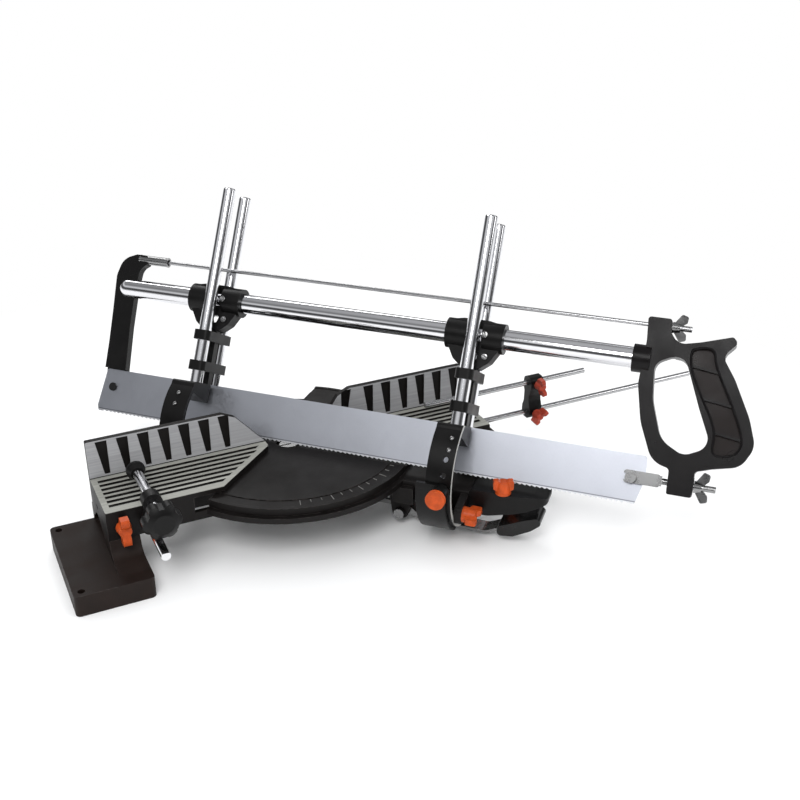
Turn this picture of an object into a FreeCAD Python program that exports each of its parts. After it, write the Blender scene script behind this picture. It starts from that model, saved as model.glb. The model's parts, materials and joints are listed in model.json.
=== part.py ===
import FreeCAD, Part
import math
import os

# Mitre guillotine: a long frame saw that slides in two pairs of posts over a
# turntable, set in a cast bed with two fenced wings on bench feet.
# Millimetres, +Z up. The origin is the middle of the bench bolt rectangle,
# on the plane that the feet stand on.
# It stands here with the saw swung to the right and the posts leant over.

# Set-up at rest
mitreAngle = 45.0
bevelAngle = 30.0

# Bed, wings and feet
tableHeight = 72.0
wingReach = 207.5
wingDepth = 69.0
tablePlate = 5.0
skirtDepth = 31.0
wallThick = 5.0
fenceHeight = 41.3
fenceThick = 6.0
fenceGap = 25.0
fenceRamp = 30.5
farFenceGap = 34.0
farFenceRamp = 24.5
fenceChamfer = 14.0
fenceChamferDrop = 6.5
bladeNotchFront = 92.0
ribPitch = 20.7
ribCount = 9
recessTopWidth = 11.5
recessLowWidth = 5.5
recessDepth = 1.6
grooveCount = 7
grooveDepth = 1.2
grooveWidth = 4.4
grooveMargin = 6.0
footOuter = 252.0
footInner = 177.0
footFront = 117.0
footBack = 10.0
footThick = 22.0
columnWide = 29.5
boltInset = 8.0
boltRadius = 3.5
socketBack = 31.0
socketHeight = 54.0
nearSocketBack = 23.0
nearSocketHeight = 53.5
socketDepth = 52.0
socketBossLength = 60.0
socketBossRadius = 7.0
bridgeHeight = 12.0
bridgeTop = 50.0
bridgeRadius = 90.0

# Turntable and front arm, heights below are from the table surface
discRadius = 134.0
discFlange = 139.0
discTop = 66.0
discLow = 52.0
flangeTop = 58.0
rearRadius = 100.0
sawSlotRadius = 9.5
pivotRadius = 6.0
boltHeadTop = 62.3
boltHeadThick = 2.4
armWide = 44.0
armStart = 98.0
armEnd = 206.0
armTop = 58.0
armLow = 31.0
gripStart = 206.5
lockReach = 39.0
gripEnd = 284.0
leverWide = 18.0
leverThick = 3.0
leverPivotS = 132.0
leverPivotZ = 15.0
leverPinRadius = 4.0

# Saw tower, in the frame of the leant saw: along the saw, across it, up it
postRear = -106.4
postFront = 185.4
postSpread = 20.0
postRadius = 6.9
postTop = 252.6
postFoot = 24.0
ringRadius = 60.0
ringThick = 5.0
ringWide = 26.0
ringOpening = 38.0
keeperAngle = 5.0
keeperBack = 21.0
keeperFront = 9.0
plungerS = 189.5
plungerRadius = 2.5
plungerKnobRadius = 9.5
shoeGap = 0.4

# Saw carriage
guideTop = 149.0
guideBelow = 99.0
upperBar = (86.5, 97.0)
lowerBar = (53.5, 64.0)
stemLow = 34.0
stemSlotTop = 41.2

# Frame saw
bladeRear = -228.5
bladeLength = 600.0
bladeWidth = 48.0
bladeThick = 1.0
bladeLow = -7.5
toothPitch = 5.0
gulletDepth = 1.4
tubeHeight = 133.0
tubeRadius = 10.6
tubeWall = 1.4
tubeRear = -227.0
tubeFront = 357.0
wireHeight = 170.4
wireRadius = 2.0
handleThick = 26.0
armPlateThick = 9.0

# Work clamp on the left wing
clampScrewX = -166.0
clampScrewZ = 84.0
clampBarX = -170.0
clampBarZ = 59.0
clampBarEnd = -142.0
clampBarFlat = 3.2
clampBracketY = -83.0
clampPadY = -20.0
clampKnobY = -121.0

# Length stop on the right wing
stopRodRadius = 3.0
stopRodStart = 163.0
stopRodEnd = 510.0
stopLinkX = 285.0
stopFingerStart = 147.0
stopFingerEnd = 352.0
stopFingerBack = 32.0
stopFingerHeight = 91.0

# Fits
runningGap = 0.06

pivotY = (footFront - footBack) / 2
fenceTop = tableHeight + fenceHeight

up = FreeCAD.Vector(0, 0, 1)
along = FreeCAD.Vector(1, 0, 0)
across = FreeCAD.Vector(0, 1, 0)
origin = FreeCAD.Vector(0, 0, 0)


# Basic shapes

def box(x0, x1, y0, y1, z0, z1):
    return Part.makeBox(x1 - x0, y1 - y0, z1 - z0, FreeCAD.Vector(x0, y0, z0))


def rod(radius, length, x, y, z, axis):
    return Part.makeCylinder(radius, length, FreeCAD.Vector(x, y, z), axis)


def tubeAlong(radius, x0, x1, y, z):
    return rod(radius, x1 - x0, x0, y, z, along)


def cone(radiusLow, radiusHigh, length, x, y, z, axis):
    return Part.makeCone(radiusLow, radiusHigh, length, FreeCAD.Vector(x, y, z), axis)


def loop(corners, place):
    """A closed wire through corners of (a, b, radius), each rounded by its radius."""
    points = [FreeCAD.Vector(a, b, 0) for a, b, radius in corners]
    edges = []
    cuts = []
    for i, (a, b, radius) in enumerate(corners):
        corner = points[i]
        back = (points[i - 1] - corner).normalize()
        ahead = (points[(i + 1) % len(points)] - corner).normalize()
        half = back.getAngle(ahead) / 2
        if radius == 0:
            cuts.append((corner, corner, corner))
            continue
        reach = radius / math.tan(half)
        middle = (back + ahead).normalize() * (radius / math.sin(half) - radius)
        cuts.append((corner + back * reach, corner + middle, corner + ahead * reach))
    for i, (start, middle, end) in enumerate(cuts):
        before = cuts[i - 1][2]
        if before.distanceToPoint(start) > 0.001:
            edges.append(Part.LineSegment(place(before), place(start)).toShape())
        if start.distanceToPoint(end) > 0.001:
            edges.append(Part.Arc(place(start), place(middle), place(end)).toShape())
    return Part.Wire(Part.__sortEdges__(edges))


def slab(corners, place, sweep):
    return Part.Face(loop(corners, place)).extrude(sweep)


def upright(corners, y0, y1):
    """A plate whose outline lies along and up, from y0 to y1 across."""
    return slab(corners, lambda p: FreeCAD.Vector(p.x, y0, p.y), FreeCAD.Vector(0, y1 - y0, 0))


def flat(corners, z0, z1):
    return slab(corners, lambda p: FreeCAD.Vector(p.x, p.y, z0), FreeCAD.Vector(0, 0, z1 - z0))


def crosswise(corners, x0, x1):
    """A plate whose outline lies across and up, from x0 to x1 along."""
    return slab(corners, lambda p: FreeCAD.Vector(x0, p.x, p.y), FreeCAD.Vector(x1 - x0, 0, 0))


def joined(pieces):
    return pieces[0].multiFuse(pieces[1:]).removeSplitter()


def mirrored(shape):
    return shape.mirror(origin, along)


# Frames that the pieces are modelled in

def placeTurned(shape):
    """From the arm's own frame, along the arm and up from the bench, to its swung place."""
    moved = shape.copy()
    moved.rotate(origin, up, -mitreAngle)
    moved.translate(FreeCAD.Vector(0, pivotY, 0))
    return moved


def placeTurnedAtTable(shape):
    moved = shape.copy()
    moved.translate(FreeCAD.Vector(0, 0, tableHeight))
    return placeTurned(moved)


def placeLeant(shape):
    """From the saw's own frame, with the bevel axis at its origin, to its leant place."""
    moved = shape.copy()
    moved.rotate(origin, along, -bevelAngle)
    return placeTurnedAtTable(moved)


def placeBed(shape):
    moved = shape.copy()
    moved.translate(FreeCAD.Vector(0, pivotY, 0))
    return moved


# Knobs and nuts, with the screw along +Z and the seat at the origin

def wingKnob(hubRadius, hubHeight, span, wingHeight, wingThick):
    lift = hubHeight * 0.35
    wing = [
        (-hubRadius * 0.5, 0, 0),
        (hubRadius * 0.5, 0, 0),
        (span / 2, lift, 1.5),
        (span / 2, wingHeight, 2.0),
        (span / 4, wingHeight, 1.5),
        (0, hubHeight * 0.75, 0),
        (-span / 4, wingHeight, 1.5),
        (-span / 2, wingHeight, 2.0),
        (-span / 2, lift, 1.5),
    ]
    hub = cone(hubRadius, hubRadius * 0.8, hubHeight, 0, 0, 0, up)
    return joined([hub, upright(wing, -wingThick / 2, wingThick / 2)])


def wingNut(boreRadius, outerRadius, height, span):
    wing = [
        (-outerRadius * 0.6, 0.5, 0),
        (outerRadius * 0.6, 0.5, 0),
        (span / 2, height * 1.1, 2.0),
        (span / 2 - 2, height * 2.0, 2.2),
        (span / 2 - 8, height * 1.9, 1.5),
        (0, height * 0.9, 0),
        (-span / 2 + 8, height * 1.9, 1.5),
        (-span / 2 + 2, height * 2.0, 2.2),
        (-span / 2, height * 1.1, 2.0),
    ]
    body = cone(outerRadius, outerRadius * 0.8, height, 0, 0, 0, up)
    whole = joined([body, upright(wing, -1.3, 1.3)])
    return whole.cut(rod(boreRadius, height * 3, 0, 0, -1, up))


def aimed(shape, axis, x, y, z, roll=0.0):
    """Turns a shape made along +Z to point along axis, with a roll about it, and moves it."""
    moved = shape.copy()
    moved.rotate(origin, up, roll)
    moved.Placement = FreeCAD.Placement(FreeCAD.Vector(x, y, z),
        FreeCAD.Rotation(up, axis)).multiply(moved.Placement)
    return moved


# Bed casting

def fenceFace(gap, rampWidth):
    top = fenceHeight + tableHeight
    ramp = gap + rampWidth
    corners = [
        (-wingReach, tableHeight - skirtDepth, 0),
        (-gap, tableHeight - skirtDepth, 0),
        (-gap, tableHeight, 0),
        (-ramp, top - fenceChamferDrop, 4),
        (-ramp - fenceChamfer, top, 4),
        (-wingReach, top, 1.5),
    ]
    return upright(corners, 0, fenceThick)


def fenceRecess(left):
    """One dark taper between two machined ribs, wide at the top."""
    low = tableHeight + 3.0
    high = fenceTop - 1.5
    right = left + recessTopWidth
    corners = [(left, high, 0), (right, high, 0), (right, low, 0), (right - recessLowWidth, low, 0)]
    return upright(corners, -1, recessDepth)


def tableTop():
    corners = [
        (-wingReach, fenceThick / 2, 0),
        (-wingReach, -wingDepth, 2),
        (-bladeNotchFront, -wingDepth, 0),
        (-fenceGap, -10.0, 3),
        (-fenceGap, fenceThick / 2, 0),
    ]
    return flat(corners, tableHeight - tablePlate, tableHeight)


def tableGroove(index):
    """One groove beside the fence; its inner end follows the slant of the wing."""
    pitch = (wingDepth - 2 * grooveMargin) / grooveCount
    back = -grooveMargin - pitch * index
    slant = (bladeNotchFront - fenceGap) / (wingDepth - 10.0)
    inner = fenceGap + grooveMargin + 3 + max(0.0, -back - 10.0) * slant
    left = -wingReach + grooveMargin
    corners = [
        (left, back, 0),
        (left, back - grooveWidth, 0),
        (-inner - grooveWidth * slant, back - grooveWidth, 0),
        (-inner, back, 0),
    ]
    return flat(corners, tableHeight - grooveDepth, tableHeight + 1)


def wing(gap, rampWidth, socketY, socketZ):
    """A wing as it lies on the left, with its fence, its ribs below and its rod socket."""
    low = tableHeight - skirtDepth
    front = box(-wingReach, -bladeNotchFront - 14, -wingDepth, -wingDepth + wallThick, low, tableHeight - 1)
    end = box(-wingReach, -wingReach + wallThick, -wingDepth, fenceThick, low, tableHeight - 1)
    boss = box(-wingReach, -footInner + 8, -wingDepth, -wingDepth + 26, low, tableHeight - 1)
    tie = box(-footInner + 1, -40, -42, fenceThick, low - 3, bridgeTop)
    gussets = [box(x, x + 3, -wingDepth, fenceThick, low, tableHeight - 1) for x in (-176, -152)]
    socketBoss = rod(socketBossRadius, socketBossLength, -wingReach, -socketY, socketZ, along)
    body = joined([fenceFace(gap, rampWidth), tableTop(), front, end, boss, tie, socketBoss] + gussets)
    firstRecess = -wingReach + ribPitch - recessTopWidth
    recesses = [fenceRecess(firstRecess + ribPitch * i) for i in range(ribCount - 2)]
    grooves = [tableGroove(i) for i in range(grooveCount)]
    socket = rod(stopRodRadius + runningGap, socketDepth + 1, -wingReach - 1, -socketY, socketZ, along)
    return body.cut(Part.makeCompound(recesses + grooves)).cut(socket).cut(columnArch())


def leftWing():
    return wing(fenceGap, fenceRamp, nearSocketBack, nearSocketHeight)


def columnArch():
    """The arched recess in the end of a column, which runs up into the wing's end wall."""
    low = footThick
    corners = [(-45, low, 2), (5, low, 2), (5, low + 6, 3), (-18, low + 23.5, 9), (-45, low + 8, 4)]
    return crosswise(corners, -wingReach - 1, -wingReach + columnWide - 6)


def rightWing():
    """The far wing repeats the ribs of the near one in the same sense, not mirrored."""
    low = tableHeight - skirtDepth
    body = mirrored(wing(farFenceGap, farFenceRamp, socketBack, socketHeight))
    filler = box(farFenceGap + farFenceRamp + fenceChamfer + 8, wingReach - 4, 0, 3, tableHeight + 1,
        fenceTop - 1)
    body = body.fuse(filler).removeSplitter()
    firstRecess = wingReach - 4 - recessTopWidth
    recesses = [fenceRecess(firstRecess - ribPitch * i) for i in range(ribCount - 3)]
    return body.cut(Part.makeCompound(recesses))


def makeBed():
    hub = Part.makeCylinder(bridgeRadius, bridgeHeight, FreeCAD.Vector(0, 0, bridgeTop - bridgeHeight))
    window = Part.makeCylinder(bridgeRadius - 12, bridgeHeight + 2,
        FreeCAD.Vector(0, 0, bridgeTop - bridgeHeight - 1))
    core = Part.makeCylinder(24, bridgeHeight, FreeCAD.Vector(0, 0, bridgeTop - bridgeHeight))
    window = window.cut(box(-wingReach, wingReach, -14, 14, 0, tableHeight)).cut(core)
    window = window.cut(box(-7, 7, -wingReach, wingReach, 0, tableHeight))
    bed = joined([leftWing(), rightWing(), hub.cut(window)])
    sweep = Part.makeCylinder(discFlange + 1.5, tableHeight - tablePlate - bridgeTop,
        FreeCAD.Vector(0, 0, bridgeTop))
    bore = Part.makeCylinder(pivotRadius + runningGap, tableHeight, origin)
    bed = bed.cut(sweep).cut(bore)
    bed = bed.cut(detentNotches())
    barSocket = rod(4.5, 30, clampBarX, -wingDepth + 24, clampBarZ, FreeCAD.Vector(0, -1, 0))
    return bed.cut(barSocket)


def detentNotches():
    """Index notches under the hub rim, one for each common mitre."""
    notch = box(bridgeRadius - 5, bridgeRadius + 5, -2.5, 2.5, 0, bridgeTop - bridgeHeight + 5)
    cuts = []
    for angle in (-45, -30, -22.5, -15, 0, 15, 22.5, 30, 45):
        cut = notch.copy()
        cut.rotate(origin, up, -90 + angle)
        cuts.append(cut)
    return Part.makeCompound(cuts)


def makeLeftFoot():
    plate = flat(
        [(-footOuter, -footFront, 5), (-footInner, -footFront, 5), (-footInner, footBack, 5),
            (-footOuter, footBack, 5)],
        0, footThick,
    )
    top = tableHeight - skirtDepth
    column = box(-wingReach, -wingReach + columnWide, -wingDepth, footBack, footThick - 1, top)
    slope = crosswise(
        [(-wingDepth - 36, footThick - 0.5, 0), (-wingDepth + 2, footThick - 0.5, 0),
            (-wingDepth + 2, top, 0),
         (-wingDepth - 0.5, top, 0), (-wingDepth - 7, footThick + 5, 14)],
        -wingReach, -wingReach + columnWide,
    )
    foot = joined([plate, column, slope])
    holes = [rod(boltRadius, footThick + 2, -footOuter + boltInset, y, -1,
        up) for y in (-footFront + boltInset, footBack - boltInset)]
    cavity = box(-footOuter + 6, -footInner - 6, -footFront + 6, -footFront + 34, -1, footThick - 6)
    cavity = cavity.cut(rod(boltRadius + 5, footThick, -footOuter + boltInset, -footFront + boltInset,
        -1, up))
    return foot.cut(columnArch()).cut(Part.makeCompound(holes)).cut(cavity)


# Turntable with its arm

def makeTurntable():
    front = box(-24, discFlange, -discFlange, discFlange, 0, tableHeight)
    flange = Part.makeCylinder(discFlange, flangeTop - discLow, FreeCAD.Vector(0, 0, discLow))
    disc = Part.makeCylinder(discRadius, discTop - discLow, FreeCAD.Vector(0, 0, discLow))
    scale = Part.makeCylinder(discRadius - 4, 2, FreeCAD.Vector(0, 0, discTop - 0.8))
    scale = scale.cut(Part.makeCylinder(discRadius - 16, 3, FreeCAD.Vector(0, 0, discTop - 1)))
    rearDisc = Part.makeCylinder(rearRadius, discTop - discLow, FreeCAD.Vector(0, 0, discLow))
    plate = joined([flange.common(front), disc.common(front), rearDisc])
    hollow = Part.makeCylinder(discRadius - 8, 6, FreeCAD.Vector(0, 0, discLow - 0.5))
    hollow = hollow.cut(Part.makeCylinder(bridgeRadius + 6, 8, FreeCAD.Vector(0, 0, discLow - 1)))
    spokes = [box(0, discFlange, -2, 2, 0, tableHeight) for i in range(7)]
    for i, spoke in enumerate(spokes):
        spoke.rotate(origin, up, -75 + 25 * i)
    hollow = hollow.cut(Part.makeCompound(spokes)).common(front)
    plate = plate.cut(hollow).cut(scale.common(front))
    arm = crosswise(
        [(-armWide / 2, armTop, 3), (-armWide / 2, armLow + 8, 6), (-armWide / 2 + 8, armLow, 3),
         (armWide / 2 - 8, armLow, 3), (armWide / 2, armLow + 8, 6), (armWide / 2, armTop, 3)],
        armStart, armEnd,
    )
    channel = box(armStart + 8, armEnd - 12, -armWide / 2 + 6, armWide / 2 - 6, armLow - 1, armTop - 6)
    lug = [
        upright([(leverPivotS - 14, armTop - 4, 0), (leverPivotS - 8, 8, 7), (leverPivotS + 8, 8, 7),
            (leverPivotS + 14, armTop - 4, 0)],
                side, side + 5)
        for side in (-15.5, 10.5)
    ]
    rearArm = box(-rearRadius - 20, -bridgeRadius - 3, -armWide / 2, armWide / 2, armLow + 6, armTop)
    rearChannel = box(-rearRadius - 16, -rearRadius + 1, -armWide / 2 + 6, armWide / 2 - 6, armLow,
        armTop - 6)
    boss = upright([(128, armTop - 24, 2), (150, armTop - 24, 2), (150, armTop - 6, 2),
        (128, armTop - 6, 2)], -armWide / 2 - 6, -armWide / 2 + 1)
    body = joined([plate, arm.cut(channel), rearArm.cut(rearChannel), boss, lockLug()] + lug)
    slot = tubeAlong(sawSlotRadius, -rearRadius - 40, discFlange + 80, 0, tableHeight)
    bore = Part.makeCylinder(pivotRadius + runningGap, tableHeight, origin)
    recess = Part.makeCylinder(13, 8, FreeCAD.Vector(0, 0, boltHeadTop - boltHeadThick - 0.1))
    leverBore = rod(leverPinRadius + 0.05, 60, leverPivotS, -30, leverPivotZ, across)
    return body.cut(slot).cut(bore).cut(recess).cut(leverBore)


def lockLug():
    """Ear beside the arm's end that carries the bevel lock."""
    ear = [(-lockReach - 8, 33, 5), (-armWide / 2 + 1, 31, 0), (-armWide / 2 + 1, armTop - 3, 0),
        (-lockReach - 8, 51, 5)]
    return crosswise(ear, armEnd - 7.3, armEnd)


def makePivotBolt():
    head = Part.makeCylinder(9, boltHeadThick, FreeCAD.Vector(0, 0, boltHeadTop - boltHeadThick))
    shank = Part.makeCylinder(pivotRadius, boltHeadTop - 31, FreeCAD.Vector(0, 0, 30))
    nut = hexagon(9.5, 30, 37.5)
    return joined([head.cut(box(-10, 10, -1, 1, boltHeadTop - 1, discTop)), shank, nut])


def hexagon(radius, z0, z1):
    corners = [(radius * math.cos(math.radians(a)), radius * math.sin(math.radians(a)),
        0) for a in range(0, 360, 60)]
    return flat(corners, z0, z1)


# Bevel shoes: curved blocks on the arm that the rings turn round

def shoe(middle, spread):
    outer = ringRadius - ringThick - shoeGap
    block = tubeAlong(outer, middle - ringWide / 2, middle + ringWide / 2, 0, 0)
    inner = tubeAlong(outer - 9, middle - ringWide, middle + ringWide, 0, 0)
    wedge = crosswise([(0, 0, 0), (-120 * spread, -120, 0), (120 * spread, -120, 0)], middle - ringWide,
        middle + ringWide)
    return block.cut(inner).common(wedge)


def makeFrontShoe():
    rim = shoe(postFront, 0.9)
    web = box(postFront - 7, postFront + 7, -armWide / 2 + 7, armWide / 2 - 7, armLow - tableHeight - 14,
        armLow - tableHeight - 0.2)
    outer = ringRadius - ringThick - shoeGap - 1
    web = web.common(tubeAlong(outer, postFront - 20, postFront + 20, 0, 0))
    return joined([rim, web])


def makeRearShoe():
    rim = shoe(postRear, 0.9)
    web = box(postRear - 7, postRear + 7, -armWide / 2 + 7, armWide / 2 - 7, armLow - tableHeight - 14,
        armLow + 6 - tableHeight - 0.2)
    outer = ringRadius - ringThick - shoeGap - 1
    web = web.common(tubeAlong(outer, postRear - 20, postRear + 20, 0, 0))
    return joined([rim, web])


# Keeper that holds the ring against the front shoe and carries the plunger

def makeKeeper():
    inner = ringRadius + shoeGap
    middle = postFront
    band = tubeAlong(inner + 4, middle - keeperBack, middle + keeperFront, 0, 0)
    band = band.cut(tubeAlong(inner, middle - 40, middle + 40, 0, 0))
    wedge = crosswise([(0, 0, 0), (-150, 30, 0), (-150, -170, 0), (-70, -170, 0)], middle - 40, middle + 40)
    band = band.common(wedge)
    barrel = aimed(rod(8, 12, 0, 0, inner + 1, up), FreeCAD.Vector(0, -1, 0), plungerS, 0, 0)
    barrel.rotate(origin, along, -keeperAngle)
    hole = aimed(rod(plungerRadius + runningGap, 60, 0, 0, inner - 2, up), FreeCAD.Vector(0, -1, 0),
        plungerS, 0, 0)
    hole.rotate(origin, along, -keeperAngle)
    strap = crosswise(
        [(-56, -34, 0), (-armWide / 2, armLow - tableHeight + 10, 0),
         (-armWide / 2, armTop - tableHeight - 4, 0), (-58, -10, 0)],
        middle - keeperBack, middle - keeperBack + 5,
    )
    strap = strap.common(tubeAlong(inner + 4, middle - 60, middle + 60, 0, 0))
    return joined([band, barrel, strap]).cut(hole)


def makePlunger():
    inner = ringRadius + shoeGap
    pin = rod(plungerRadius, 18, 0, 0, inner, up)
    neck = cone(plungerKnobRadius - 2, plungerKnobRadius, 4, 0, 0, inner + 13.4, up)
    knob = joined([neck, rod(plungerKnobRadius, 5, 0, 0, inner + 17.3, up)])
    whole = aimed(joined([pin, knob]), FreeCAD.Vector(0, -1, 0), plungerS, 0, 0)
    whole.rotate(origin, along, -keeperAngle)
    return whole


# Front grip and the index lever under it

def makeGrip():
    z = tableHeight
    outline = [
        (gripStart, z - 38, 6), (gripStart, z - 11, 3), (gripEnd - 14, z - 11, 3), (gripEnd, z - 12.5, 3),
        (gripEnd, z - 19, 3), (gripEnd - 18, z - 27, 8), (gripStart + 20, z - 38, 12),
    ]
    body = upright(outline, -armWide / 2, armWide / 2)
    plan = flat(
        [(gripStart, -armWide / 2, 0), (gripEnd - 30, -armWide / 2, 12), (gripEnd, -armWide / 2 + 8, 10),
         (gripEnd, armWide / 2 - 8, 10), (gripEnd - 30, armWide / 2, 12), (gripStart, armWide / 2, 0)],
        0, tableHeight,
    )
    return body.common(plan)


def makeLever():
    z = leverPivotZ
    side = [
        (leverPivotS - 8, z - 4.5, 4), (leverPivotS + 6, z - 4.5, 2), (leverPivotS + 20, z - 9, 6), (222,
            z - 11, 16), (262, z + 8, 0),
        (261, z + 11, 0), (221, z - 11 + leverThick, 13), (leverPivotS + 21, z - 9 + leverThick, 6),
        (leverPivotS + 8, z + 4.5, 3), (leverPivotS - 8, z + 4.5, 4),
    ]
    strip = upright(side, -leverWide / 2, leverWide / 2)
    pawl = box(leverPivotS - 42, leverPivotS - 4, -2, 2, z - 2, z + 3)
    tooth = box(leverPivotS - 44, leverPivotS - 39, -2, 2, z - 2, bridgeTop - bridgeHeight - 0.4)
    eye = rod(leverPinRadius + 0.05, 40, leverPivotS, -20, z, across)
    return joined([strip, pawl, tooth]).cut(eye)


def makeLeverGrip():
    z = leverPivotZ
    side = [
        (235, z - 8, 4), (251, z - 6, 0), (269, z + 4, 10), (280, z + 14, 4), (275, z + 20, 4), (261,
            z + 14.5, 8), (234, z + 2, 4),
    ]
    return upright(side, -leverWide / 2 - 4, leverWide / 2 + 4).cut(makeLever())


def makeLeverPin():
    pin = rod(leverPinRadius, 35, leverPivotS, -17.5, leverPivotZ, across)
    head = rod(5.5, 3.5, leverPivotS, -20.5, leverPivotZ, across)
    return joined([pin, head])


# Saw tower

def ring(middle):
    band = tubeAlong(ringRadius, middle - ringWide / 2, middle + ringWide / 2, 0, 0)
    return band.cut(tubeAlong(ringRadius - ringThick, middle - ringWide, middle + ringWide, 0, 0))


def makeBracket(middle, holes):
    band = ring(middle)
    rise = math.tan(math.radians(ringOpening))
    gap = crosswise([(0, 0, 0), (-120, 120 * rise, 0), (120, 120 * rise, 0)], middle - ringWide,
        middle + ringWide)
    ends = ringRadius - ringThick / 2
    seatY = ends * math.cos(math.radians(ringOpening))
    seatZ = ends * math.sin(math.radians(ringOpening))
    pads = []
    for side in (-1, 1):
        outline = [
            (side * (postSpread - postRadius - 2.5), seatZ + 5, 2),
            (side * (seatY + 3), seatZ + 5, 4),
            (side * (seatY + 4), seatZ - 6, 3),
            (side * (postSpread - postRadius - 2.5), seatZ - 16, 3),
        ]
        block = crosswise(outline, middle - ringWide / 2, middle + ringWide / 2)
        pads.append(block)
    body = joined([band.cut(gap)] + pads)
    bores = [rod(postRadius, 60, middle, side * postSpread, postFoot, up) for side in (-1, 1)]
    return body.cut(Part.makeCompound(bores + holes))


def indexHoles():
    """Holes in the front ring that the plunger drops into, fifteen degrees apart."""
    holes = []
    for stop in (0, 15, 30, 45):
        hole = aimed(rod(2.8, 20, 0, 0, ringRadius - 12, up), FreeCAD.Vector(0, -1, 0), plungerS, 0, 0)
        hole.rotate(origin, along, stop - keeperAngle)
        holes.append(hole)
    return holes


def makePosts(middle):
    return Part.makeCompound([
        joined([
            rod(postRadius, postTop - postFoot - 1.5, middle, side * postSpread, postFoot, up),
            cone(postRadius, postRadius - 1.2, 1.5, middle, side * postSpread, postTop - 1.5, up),
        ])
        for side in (-1, 1)
    ])


# Carriage: guides round the tube, their stems and the slide bars on the posts

def makeGuide(middle):
    clearTube = tubeRadius + runningGap
    outline = [
        (middle - 29, guideTop - 3, 3), (middle - 13, guideTop, 2), (middle + 13, guideTop,
            2), (middle + 29, guideTop - 3, 3),
        (middle + 30, 126, 4), (middle + 19, 107, 4), (middle + 9, guideBelow, 3), (middle - 9,
            guideBelow, 3),
        (middle - 19, 107, 4), (middle - 30, 126, 4),
    ]
    plate = upright(outline, -8.5, 8.5)
    ringA = tubeAlong(15.5, middle - 30, middle - postRadius - 1.5, 0, tubeHeight)
    ringB = tubeAlong(15.5, middle + postRadius + 1.5, middle + 30, 0, tubeHeight)
    window = upright(
        [(middle - 8, tubeHeight - 17, 2), (middle + 8, tubeHeight - 17, 2), (middle + 5, 108, 2),
            (middle - 5, 108, 2)], -9, 9,
    )
    body = joined([plate, ringA, ringB]).cut(window)
    posts = [rod(postRadius + 0.6, 80, middle, side * postSpread, 90, up) for side in (-1, 1)]
    return body.cut(tubeAlong(clearTube, middle - 40, middle + 40, 0,
        tubeHeight)).cut(Part.makeCompound(posts))


def makeStem(middle):
    """Flat strip that hangs from the guide, holds both bars and steadies the blade's back."""
    strip = box(middle - 6, middle + 6, -4.5, 4.5, stemLow, guideBelow - 0.1)
    return strip.cut(box(middle - 7, middle + 7, -bladeThick / 2 - 0.15, bladeThick / 2 + 0.15,
        stemLow - 1, stemSlotTop))


def makeBar(middle, low, high):
    radius = postRadius + 2.6
    outline = [
        (middle - radius, -postSpread - radius, radius * 0.6),
        (middle + radius, -postSpread - radius, radius * 0.6),
        (middle + radius, postSpread + radius, radius * 0.6),
        (middle - radius, postSpread + radius, radius * 0.6),
    ]
    bar = flat(outline, low, high)
    bores = [rod(postRadius + runningGap, 30, middle, side * postSpread, low - 5, up) for side in (-1, 1)]
    return bar.cut(Part.makeCompound(bores)).cut(box(middle - 6, middle + 6, -4.5, 4.5, low - 1, high + 1))


# Frame saw

def makeBlade():
    low = bladeLow
    high = bladeLow + bladeWidth
    rear = bladeRear
    front = bladeRear + bladeLength
    count = int((bladeLength - 16) / toothPitch)
    wide = (bladeLength - 16) / count
    corners = [(rear + 1, high, 2.5), (rear, high - 8, 0), (rear - 4, low + 6, 0), (rear - 2, low, 2)]
    for i in range(count):
        left = rear + 4 + wide * i
        corners.append((left, low, 0))
        corners.append((left + wide * 0.25, low + gulletDepth, 0))
    corners += [(front - 6, low, 1), (front + 1, high - 22, 3), (front, high, 3)]
    blade = upright(corners, -bladeThick / 2, bladeThick / 2)
    holes = [rod(3, 10, x, -5, z, across) for x, z in ((-217, 21), (359, 18))]
    return blade.cut(Part.makeCompound(holes))


def makeTube():
    outer = tubeAlong(tubeRadius, tubeRear + 5, tubeFront, 0, tubeHeight)
    dome = Part.makeSphere(tubeRadius,
        FreeCAD.Vector(tubeRear + 8, 0, tubeHeight)).common(box(tubeRear - 6, tubeRear + 8, -20, 20, 0,
        300))
    whole = joined([outer.cut(box(tubeRear - 6, tubeRear + 8, -20, 20, 0, 300)), dome])
    hollow = tubeAlong(tubeRadius - tubeWall, tubeRear + 30, tubeFront + 1, 0, tubeHeight)
    slot = box(tubeRear - 10, tubeRear + 27, -armPlateThick / 2, armPlateThick / 2, 100, 160)
    return whole.cut(hollow).cut(slot)


def makeRearArm():
    """The flat bow at the back that the tube, the tension rod and the blade hang on."""
    outline = [
        (-214, 171.5, 3), (-201, 171.5, 2), (-199, 161, 3), (-207, 157, 12), (-208.5, 130, 60), (-207,
            90, 60), (-203, 40, 2),
        (-203, 13, 8), (-226, 13, 8), (-229, 40, 10), (-230, 72, 60), (-232, 106, 60), (-235, 146,
            18), (-230, 165, 18),
    ]
    plate = upright(outline, -armPlateThick / 2 + 0.02, armPlateThick / 2 - 0.02)
    blade = box(-240, -195, -6, bladeThick / 2 + 0.05, 0, bladeLow + bladeWidth + 0.8)
    barrel = tubeAlong(5.0, -212, -176, 0, wireHeight - 3.4)
    bore = tubeAlong(wireRadius, -190, -170, 0, wireHeight - 3.4)
    rivet = rod(3, 12, -217, -6, 21, across)
    return joined([plate.cut(blade), barrel]).cut(bore).cut(rivet)


def makeRivet():
    head = rod(4.6, 1.6, -217, -bladeThick / 2 - 1.6, 21, across)
    shank = rod(3, 6.4, -217, -bladeThick / 2 - 0.1, 21, across)
    tail = rod(4.6, 1.4, -217, armPlateThick / 2, 21, across)
    return joined([head, shank, tail])


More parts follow.
